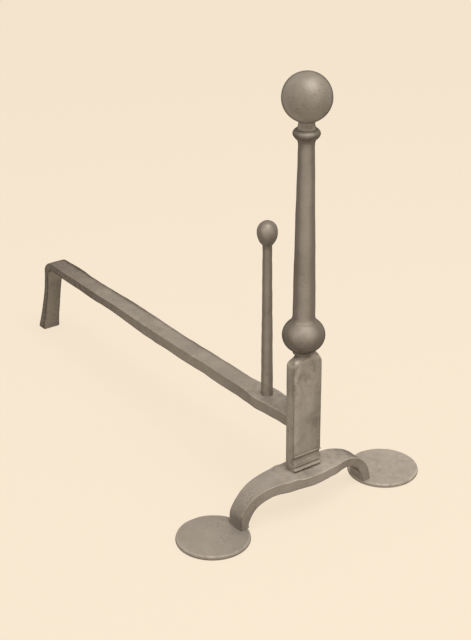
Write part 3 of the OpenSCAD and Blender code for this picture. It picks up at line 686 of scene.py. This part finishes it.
skin, boreX, boreY = plinthSkin(plinth)
skin = forged(skin, plinth, fade(skin[..., 2], 0, plinth["hold"])
              * fade(plinth["tall"] - skin[..., 2], 0, plinth["hold"]))
boreRows = [stacked(boreX, boreY, z) for z in (plinth["tall"], plinth["tall"] - plinth["boreDeep"])]
skin = np.concatenate([skin, boreRows]) + (0, postFoot[1], plinth["seat"])
peen = peenShell((0, postFoot[1] - plinth["lead"]), bottom + plinth["peenDeep"], plinth["peen"],
                 plinth["peenDeep"])
wearAndPaintedLight = plinthWearAndLight(plinth, *axes(skin - (0, postFoot[1], plinth["seat"])))
makePiece("plinthForging", "plinth", plinthIron, [(skin, False, wearAndPaintedLight), (peen, False)])


def boredRing(sizes, outside, bottom, top):
    # The outside closed through the bore, in even steps, carried round the post's axis and forged. Its
    # hammering fades out towards the bore.
    outline = np.concatenate([outside, [(sizes["bore"], top), (sizes["bore"], bottom), outside[0]]])
    outline = evenly(outline, sizes["step"])[:-1]
    ring = turned(outline, sizes["around"], postFoot)
    return forged(ring, sizes, fade(outline[:, :1], *sizes["hold"]), ring=True)


knop = {"tall": 39.6, "under": 11.2, "over": 13.5, "bore": 3.6, "step": 0.5, "around": 200, "seed": 61,
        "feel": {**smooth, "dishDepth": 0.05}, "hold": (11.0, 5.0), "dimming": 0.2, "sootAndShade": 0.42,
        "shadeTo": (0.5, 9.0)}
bottom, top, wide = sizesOf("knop")
ovalZ = bottom + knop["tall"] / 2 * math.sqrt(1 - (2 * knop["under"] / wide) ** 2)
angle = np.linspace(-math.acos(2 * knop["under"] / wide), math.acos(2 * knop["over"] / wide), 90)
outside = stacked(wide / 2 * np.cos(angle), ovalZ + knop["tall"] / 2 * np.sin(angle))
oval = boredRing(knop, outside, bottom, top)
# The whole knop is a little darker, and painted shade darkens its underside up to a little above its widest
# point
wearAndPaintedLight = {"darkening": knop["dimming"] + knop["sootAndShade"] * (1 - fade(oval[..., 2] - ovalZ, *knop["shadeTo"]))}
makePiece("knopRing", "knop", postIron, [(oval, True, wearAndPaintedLight)])

shaft = {"foot": 13.5, "low": 11.8, "top": 8.35, "lip": 10.3, "footTall": 6.0, "coveTall": 9.5,
         "taper": 1.35, "tenon": 3.5, "bore": 4.6, "boreDeep": 19.0, "step": 0.8, "rounding": 3,
         "around": 132, "seed": 71, "hold": (6.0, 2.0), "holdEnds": 4.0,
         "feel": {**smooth, "waveDepth": 0.35, "dishDepth": 0.06, "dishSize": 12.0}}
knopTop = top
bottom, top = sizesOf("shaft")[:2]
t = np.linspace(0, 1, 40)
quarter = t * np.pi / 2
footCurve = stacked(between(shaft["foot"], shaft["low"], np.sin(quarter)), knopTop + shaft["footTall"] * t)
taper = stacked(between(shaft["low"], shaft["top"], t ** shaft["taper"]),
                between(knopTop + shaft["footTall"], top - shaft["coveTall"], t))
cove = stacked(between(shaft["top"], shaft["lip"], 1 - np.cos(quarter)),
               top - shaft["coveTall"] * (1 - np.sin(quarter)))
outside = soften(evenly(np.concatenate([footCurve, taper, cove]), shaft["step"]), shaft["rounding"])
outline = np.concatenate([[(axisGap, bottom), (shaft["tenon"], bottom), (shaft["tenon"], knopTop)], outside,
                          [(shaft["bore"], top), (shaft["bore"], top - shaft["boreDeep"]),
                           (axisGap, top - shaft["boreDeep"])]])
radius, level = outline[:, :1], outline[:, 1:]
rod = forged(turned(outline, shaft["around"], postFoot), shaft, fade(radius, *shaft["hold"])
             * fade(level, knopTop, shaft["holdEnds"]) * fade(-level, -top, shaft["holdEnds"]))
makePiece("taperedShaft", "shaft", postIron, [(rod, False)])

collar = {"face": 10.3, "bore": 4.6, "highPoint": 1.15, "fullness": 0.68, "step": 0.3, "around": 180,
          "seed": 81, "feel": {**smooth, "waveDepth": 0.2, "waveSize": 14.0}, "hold": (10.3, 2.0),
          "ringHighlight": 0.25, "ringHighlightAt": (8.0, 0.6), "ringShadow": 0.9, "ringShadowAt": (4.4, 0.45), "dimming": 0.8,
          "dimmingTo": (5.9, 1.5)}
bottom, top, wide = sizesOf("neck_collar")
t = np.linspace(0, 1, 60)
crown = np.sin(np.pi * t ** collar["highPoint"]).clip(0) ** collar["fullness"]
outside = stacked(between(collar["face"], wide / 2, crown), between(bottom, top, t))
ringGrid = boredRing(collar, outside, bottom, top)
level = ringGrid[..., 2] - bottom
# A painted highlight on the upper ring, a painted shadow line below it, and painted shade over the lower
# part
wearAndPaintedLight = {"pale": collar["ringHighlight"] * bell(level, *collar["ringHighlightAt"]),
        "darkening": collar["ringShadow"] * bell(level, *collar["ringShadowAt"])
        + collar["dimming"] * (1 - fade(level, *collar["dimmingTo"]))}
makePiece("neckCollar", "neck_collar", postIron, [(ringGrid, True, wearAndPaintedLight)])

finial = {"waist": 8.25, "waistFoot": 9.4, "waistTall": 7.4, "stud": 4.5, "step": 0.5, "rounding": 12,
          "around": 220, "seed": 91, "feel": {**smooth, "dishDepth": 0.05, "dishSize": 9.0}, "holdUp": 5.0,
          "sideWay": (0.81, -0.58, 0.0), "sideShade": 0.42, "sideFrom": (0.15, 0.6),
          "topWay": (0.25, 0.35, 0.90), "topShade": 0.2, "topFrom": (0.5, 0.3), "waistPale": 0.5,
          "waistLight": 0.6, "waistWide": 3.0}
seatZ = top
bottom, top, wide = sizesOf("ball_finial")
radius = wide / 2
t = np.linspace(0, 1, 16)
waist = stacked(between(finial["waistFoot"], finial["waist"], np.sin(t * np.pi / 2)),
                seatZ + finial["waistTall"] * t)
angle = np.radians(np.linspace(-math.degrees(math.acos(finial["waist"] / radius)), 89.7, 120))
sphere = stacked(radius * np.cos(angle), top - radius + radius * np.sin(angle))
outside = soften(evenly(np.concatenate([waist, sphere]), finial["step"]), finial["rounding"])
outline = np.concatenate([[(axisGap, bottom), (finial["stud"], bottom), (finial["stud"], seatZ)], outside])
globe = forged(turned(outline, finial["around"], postFoot), finial,
               fade(outline[:, 1:], seatZ, finial["holdUp"]))
# Painted light at the waist under the ball, where shade falls, and painted shade towards the ball's right
# and upper outline as seen from the camera
away = (globe - (0, postFoot[1], top - radius)) / radius
atWaist = bell(globe[..., 2], seatZ + finial["waistTall"], finial["waistWide"])
wearAndPaintedLight = {"pale": finial["waistPale"] * atWaist,
        "darkening": finial["sideShade"] * fade(away @ finial["sideWay"], *finial["sideFrom"])
        + finial["topShade"] * fade(away @ finial["topWay"], *finial["topFrom"])
        - finial["waistLight"] * atWaist}
makePiece("ballFinial", "ball_finial", ballIron, [(globe, False, wearAndPaintedLight)])

bar = {"front": 4.7, "height": 105.8, "liftPower": 8, "sag": 1.0, "reach": 514.0, "width": 25.0,
       "frontWidth": 30.2, "thick": 13.3, "rearThick": 10.0, "bend": 23.0, "bendSteps": 34, "lean": 23.6,
       "legSteps": 70, "legWidth": 21.4, "legSpread": (-30.0, 42.0), "footWidth": 26.0, "footThick": 14.0,
       "legPower": 1.15, "footPower": 0.8, "footWear": 1.6, "footWearTall": 3.0, "stop": 62.0,
       "stopRod": 13.4, "swell": 1.4, "drawDown": 2.8, "corner": 1.7, "section": (28, 12, 7),
       "runStep": 1.1, "runFrom": (-30.0, 40.0), "raised": (0.9, 1.3), "raisedFrom": (200.0, 80.0),
       "deeper": 2.0, "deepFrom": (66.0, 36.0), "deepTo": (270.0, 110.0),
       "bulges": ((1.5, 340.0, 52.0), (1.4, 478.0, 20.0)), "sway": 0.6, "swayLength": 34.0, "bow": 0.48,
       "bowLength": 90.0, "bowFrom": (80.0, 60.0), "seed": 101, "holdEnds": 4.0, "stopSpot": (11.0, 3.0),
       "feel": {**hammered, "dishDepth": 0.22, "dishSize": 11.0}, "edges": (0.35, -0.6), "edgesTurn": 0.2,
       "facingUp": (0.3, 0.4), "facingSide": (0.4, 0.4), "frontPale": 0.75, "frontTo": (82.0, 40.0),
       "middlePale": 0.42, "middleAt": (282.0, 44.0), "sideShade": (0.0, 0.7), "sideFrom": (240.0, 200.0),
       "farEdgeDark": (0.10, 0.8), "edgeIn": (5.5, 6.0), "edgeFrom": (72.0, 160.0), "rearDark": 0.5,
       "rearFrom": (324.0, 190.0), "legShade": 0.34, "legFrom": (-12.0, 12.0), "legSide": 1.6}
bar["lift"] = sizesOf("billet_bar")[1] - bar["height"]
bar["legTop"] = bar["height"] - bar["bend"]


def barHeight(sizes, y):
    # Top of the bar and its thickness: level, lifted where it meets the plinth, sagging in the middle
    t = np.clip((y - sizes["front"]) / (sizes["reach"] - sizes["front"]), 0, 1)
    top = sizes["height"] + sizes["lift"] * (1 - t) ** sizes["liftPower"] - sizes["sag"] * np.sin(np.pi * t)
    return top, between(sizes["thick"], sizes["rearThick"], t)


def barHalfWidth(sizes, y, z):
    # Full width as far as the log stop, a swell at its hole, then drawn down; the leg narrows below
    # the bend and spreads again at its foot, whose last few millimetres are worn in
    along = ease((y - sizes["stop"] - sizes["stopRod"] / 2) / (sizes["drawDown"] * sizes["stopRod"]))
    run = between(sizes["frontWidth"], sizes["width"], along) / 2
    run = run + sizes["swell"] * bell(y, sizes["stop"], sizes["stopRod"])
    low = np.clip(z / sizes["legTop"], 0, 1)
    foot = between(sizes["footWidth"], sizes["legWidth"], np.sin(np.pi / 2 * low ** sizes["footPower"])) / 2
    upper = (sizes["width"] - sizes["legWidth"]) / 2 * fade(z - sizes["legTop"], *sizes["legSpread"])
    leg = foot + upper - sizes["footWear"] * np.clip(1 - z / sizes["footWearTall"], 0, 1) ** 2
    return np.where(y < sizes["reach"] - sizes["bend"] / 2, run, np.minimum(leg, sizes["width"] / 2 + 1))


y = np.linspace(bar["front"], bar["reach"], int((bar["reach"] - bar["front"]) / bar["runStep"]))
top, thick = barHeight(bar, y)
leanAngle = math.atan2(bar["lean"], bar["legTop"])
bendAngle = np.linspace(np.pi / 2, leanAngle, bar["bendSteps"])[1:]
drop = np.linspace(0, 1, bar["legSteps"])[1:]
lines = []
for radius, inset, power, runZ in ((bar["bend"], 0.0, bar["legPower"], top),
                                   (bar["bend"] - bar["rearThick"], bar["footThick"], 1.0, top - thick)):
    bend = stacked(bar["reach"] + radius * np.cos(bendAngle), bar["legTop"] + radius * np.sin(bendAngle))
    footY = bar["reach"] + bar["bend"] * math.cos(leanAngle) + bar["lean"] - inset
    leg = stacked(between(bend[-1, 0], footY, drop ** power), bend[-1, 1] * (1 - drop))
    lines.append(np.concatenate([stacked(y, runZ), bend, leg]))
topLine, underLine = (stacked(0.0, line[:, 0] + postFoot[1], line[:, 1]) for line in lines)
y, z = (lines[0] + lines[1]).T / 2
onRun = fade(z - bar["legTop"], *bar["runFrom"])   # hammering left the run fuller than even stock
topLine[:, 2] += onRun * between(*bar["raised"], fade(y, *bar["raisedFrom"]))
underLine[:, 2] -= bar["deeper"] * fade(y, *bar["deepFrom"]) * (1 - fade(y, *bar["deepTo"]))
halfWidth = swayed(barHalfWidth(bar, y, z), topLine, bar)
bow = bar["bow"] * waves(topLine, bar["bowLength"], bar["seed"] + 5) * fade(y, *bar["bowFrom"])
for out, place, length in bar["bulges"]:   # the far edge swells out where it was struck from the near side
    bulge = onRun * out / 2 * bell(y, place, length)
    halfWidth = halfWidth + bulge
    bow = bow + bulge
topLine[:, 0] += bow
underLine[:, 0] += bow
stock = drawnBar(topLine, underLine, halfWidth, bar["corner"], barSection(*bar["section"]),
                 np.array([1, 0, 0]))
x, y, z = axes(stock - (0, postFoot[1], 0))
atStop = within(np.hypot(x, y - bar["stop"]), *bar["stopSpot"])
stock = forged(stock, bar, (1 - atStop) * fade(z, 0, bar["holdEnds"])
               * fade(y, bar["front"], bar["holdEnds"]))


def barWearAndLight(sizes, x, y, z, normal):
    # Sides darkened with painted shade and the far edge of the top darker, both more so towards the rear,
    # where the top darkens too, and the leg darkened with painted shade, more on its right; the top lit
    # paler at its front with painted light and paler about half-way back. Edge marks are one of two depths,
    # the first where the
    # surface faces up: upper edges rubbed pale with wear and painted highlight, lower ones darkened with
    # painted shade.
    up = fade(normal[..., 2], *sizes["facingUp"])
    side = fade(abs(normal[..., 0]), *sizes["facingSide"])
    farEdge = fade(x, *sizes["edgeIn"]) * between(*sizes["farEdgeDark"], fade(y, *sizes["edgeFrom"]))
    leg = (1 - fade(z - sizes["legTop"], *sizes["legFrom"])) * (1 - side)
    return {"edge": np.where(normal[..., 2] > sizes["edgesTurn"], *sizes["edges"]),
            "pale": up * (sizes["frontPale"] * (1 - fade(y, *sizes["frontTo"]))
                          + sizes["middlePale"] * bell(y, *sizes["middleAt"])),
            "darkening": side * between(*sizes["sideShade"], fade(y, *sizes["sideFrom"]))
            + up * (farEdge + sizes["rearDark"] * fade(y, *sizes["rearFrom"]))
            + sizes["legShade"] * leg * (1 + sizes["legSide"] * x / sizes["width"])}


wearAndPaintedLight = barWearAndLight(bar, *axes(stock - (0, postFoot[1], 0)), gridNormals(stock, False))
makePiece("billetBar", "billet_bar", barIron, [(stock, False, wearAndPaintedLight)])

stop = {"rod": 6.7, "neck": 5.1, "tall": 175.7, "crown": 12.0, "egg": 16.8, "peen": 6.5, "peenDepth": 2.4,
        "step": 0.5, "rounding": 9, "around": 110, "seed": 111, "hold": 4.0,
        "feel": {**smooth, "waveDepth": 0.3, "waveSize": 18.0, "dishDepth": 0.08, "dishSize": 8.0},
        "footPale": 0.7, "footTo": (8.0, 60.0), "crownPale": 0.5, "crownFrom": (0.0, 5.0), "sootAndShade": 0.32,
        "headShadeFrom": (-6.0, 4.0), "shadeTo": (-5.0, 4.0), "rodShade": 0.34, "rodShadeFrom": (-60.0, 60.0),
        "rodShadeTo": (-2.0, 2.0), "seamLight": 0.6, "seamWide": 1.5}
bottom, _, wide = sizesOf("log_stop")
radius = wide / 2
rodZ = barHeight(bar, bar["stop"] + bar["stopRod"] / 2)[0]
angle = np.linspace(-math.acos(stop["neck"] / radius), np.pi / 2 * 0.996, 90)
headZ = rodZ + stop["tall"] - stop["egg"] * math.sin(angle[0])
seamZ = rodZ + stop["tall"]
egg = stacked(radius * np.cos(angle),
              headZ + np.where(angle < 0, stop["egg"], stop["crown"]) * np.sin(angle))
outline = np.concatenate([[(axisGap, rodZ), (stop["rod"], rodZ)], egg])
outline = soften(evenly(outline, stop["step"]), stop["rounding"])
stopAxis = (0.0, postFoot[1] + bar["stop"])
rod = forged(turned(outline, stop["around"], stopAxis), stop, fade(outline[:, 1:], rodZ, stop["hold"]))
# Painted light at the rod's foot, a painted highlight over the upper half of the head, painted shade on the
# lower part of the head and on the rod below it, and painted light over the seam between them
z = rod[..., 2]
headShade = fade(z - seamZ, *stop["headShadeFrom"]) * (1 - fade(z - headZ, *stop["shadeTo"]))
rodShade = fade(z - seamZ, *stop["rodShadeFrom"]) * (1 - fade(z - seamZ, *stop["rodShadeTo"]))
wearAndPaintedLight = {"pale": stop["footPale"] * (1 - fade(z - rodZ, *stop["footTo"]))
        + stop["crownPale"] * fade(z - headZ, *stop["crownFrom"]),
        "darkening": stop["sootAndShade"] * headShade + stop["rodShade"] * rodShade
        - stop["seamLight"] * bell(z, seamZ, stop["seamWide"])}
peen = peenShell(stopAxis, bottom + stop["peenDepth"], stop["peen"], stop["peenDepth"])
makePiece("logStop", "log_stop", stopIron, [(rod, False, wearAndPaintedLight), (peen, False)])


ground = {"paper": (248, 232, 209), "lit": (208, 200, 188), "flatShare": 0.86, "reach": 9.0}
light = {"ambient": 0.55, "ambientColour": (1.0, 0.99, 0.985, 1.0), "power": 36.0, "size": 1.5,
         "colour": (1.0, 0.99, 0.98), "distance": 2.2, "from": (-0.02, -0.40, 0.92),
         "aim": (-0.02, postY + 0.1, 0.22)}
shot = {"azimuth": -35.73, "elevation": 25.55, "roll": -0.41, "distance": 1.440, "lens": 82.5,
        "sensor": 36.0, "target": (-0.0858, postY, 0.2445)}
paper = fromScreen(*ground["paper"])


def seesPaper(tree):
    # 1 for the rays that show the paper as it is: the camera's, reflections and light through glass
    rays = addNode(tree, "LightPath")
    looked = maths(tree, "MAXIMUM", rays.outputs["Is Camera Ray"], rays.outputs["Is Glossy Ray"])
    return maths(tree, "MAXIMUM", looked, rays.outputs["Is Transmission Ray"])


def paperMaterial():
    # Pale floor: mostly its own flat colour towards the camera, with the light and shadow showing faintly.
    # The object itself gets less light back from it than a floor so pale would throw.
    material, tree = emptyMaterial("paleFloor")
    seen = seesPaper(tree)
    flat = addNode(tree, "Emission", {"Color": paper, "Strength": 1.0})
    lit = addNode(tree, "BsdfDiffuse", {"Color": mixed(tree, seen, fromScreen(*ground["lit"]), paper)})
    mix = addNode(tree, "MixShader", {0: times(tree, seen, ground["flatShare"]), 1: lit.outputs[0],
                                      2: flat.outputs[0]})
    addNode(tree, "OutputMaterial", {"Surface": mix.outputs[0]})
    return material


floorMesh = bpy.data.meshes.new("floor")
corners = [(x * ground["reach"], y * ground["reach"], 0) for x, y in ((-1, -1), (1, -1), (1, 1), (-1, 1))]
floorMesh.from_pydata(corners, [], [(0, 1, 2, 3)])
floorMesh.materials.append(paperMaterial())
floor = newObject("floor", floorMesh)

world = bpy.data.worlds.new("studio")
bpy.context.scene.world = world
world.use_nodes = True
world.node_tree.nodes.clear()
ambient = addNode(world.node_tree, "Background", {"Color": light["ambientColour"],
                                                  "Strength": light["ambient"]})
backdrop = addNode(world.node_tree, "Background", {"Color": paper, "Strength": 1.0})
mix = addNode(world.node_tree, "MixShader", {0: seesPaper(world.node_tree), 1: ambient.outputs[0],
                                             2: backdrop.outputs[0]})
addNode(world.node_tree, "OutputWorld", {"Surface": mix.outputs[0]})


def turnTo(back, roll=0.0):
    # Rotation whose Z axis is back, with X level and then rolled by an angle in degrees
    back = np.array(back) / np.linalg.norm(back)
    right = np.cross((0, 0, 1), back)
    right /= np.linalg.norm(right)
    up = np.cross(back, right)
    r = math.radians(roll)
    rolled = (math.cos(r) * right + math.sin(r) * up, -math.sin(r) * right + math.cos(r) * up)
    return Matrix(stacked(*rolled, back).tolist()).to_euler()


lampData = bpy.data.lights.new("softbox", "AREA")
lampData.energy, lampData.size, lampData.color = light["power"], light["size"], light["colour"]
lamp = newObject("softbox", lampData)
toLamp = np.array(light["from"]) / np.linalg.norm(light["from"])
lamp.location = np.array(light["aim"]) + toLamp * light["distance"]
lamp.rotation_euler = turnTo(toLamp)

cameraData = bpy.data.cameras.new("camera")
cameraData.lens, cameraData.sensor_width, cameraData.clip_end = shot["lens"], shot["sensor"], 100.0
camera = newObject("camera", cameraData)
azimuth, elevation = math.radians(shot["azimuth"]), math.radians(shot["elevation"])
back = np.array([math.sin(azimuth) * math.cos(elevation), -math.cos(azimuth) * math.cos(elevation),
                 math.sin(elevation)])
camera.location = np.array(shot["target"]) + back * shot["distance"]
camera.rotation_euler = turnTo(back, shot["roll"])
bpy.context.scene.camera = camera
bpy.context.scene.view_settings.view_transform = "Standard"
print("floor, light and camera ready")

bpy.context.view_layer.update()
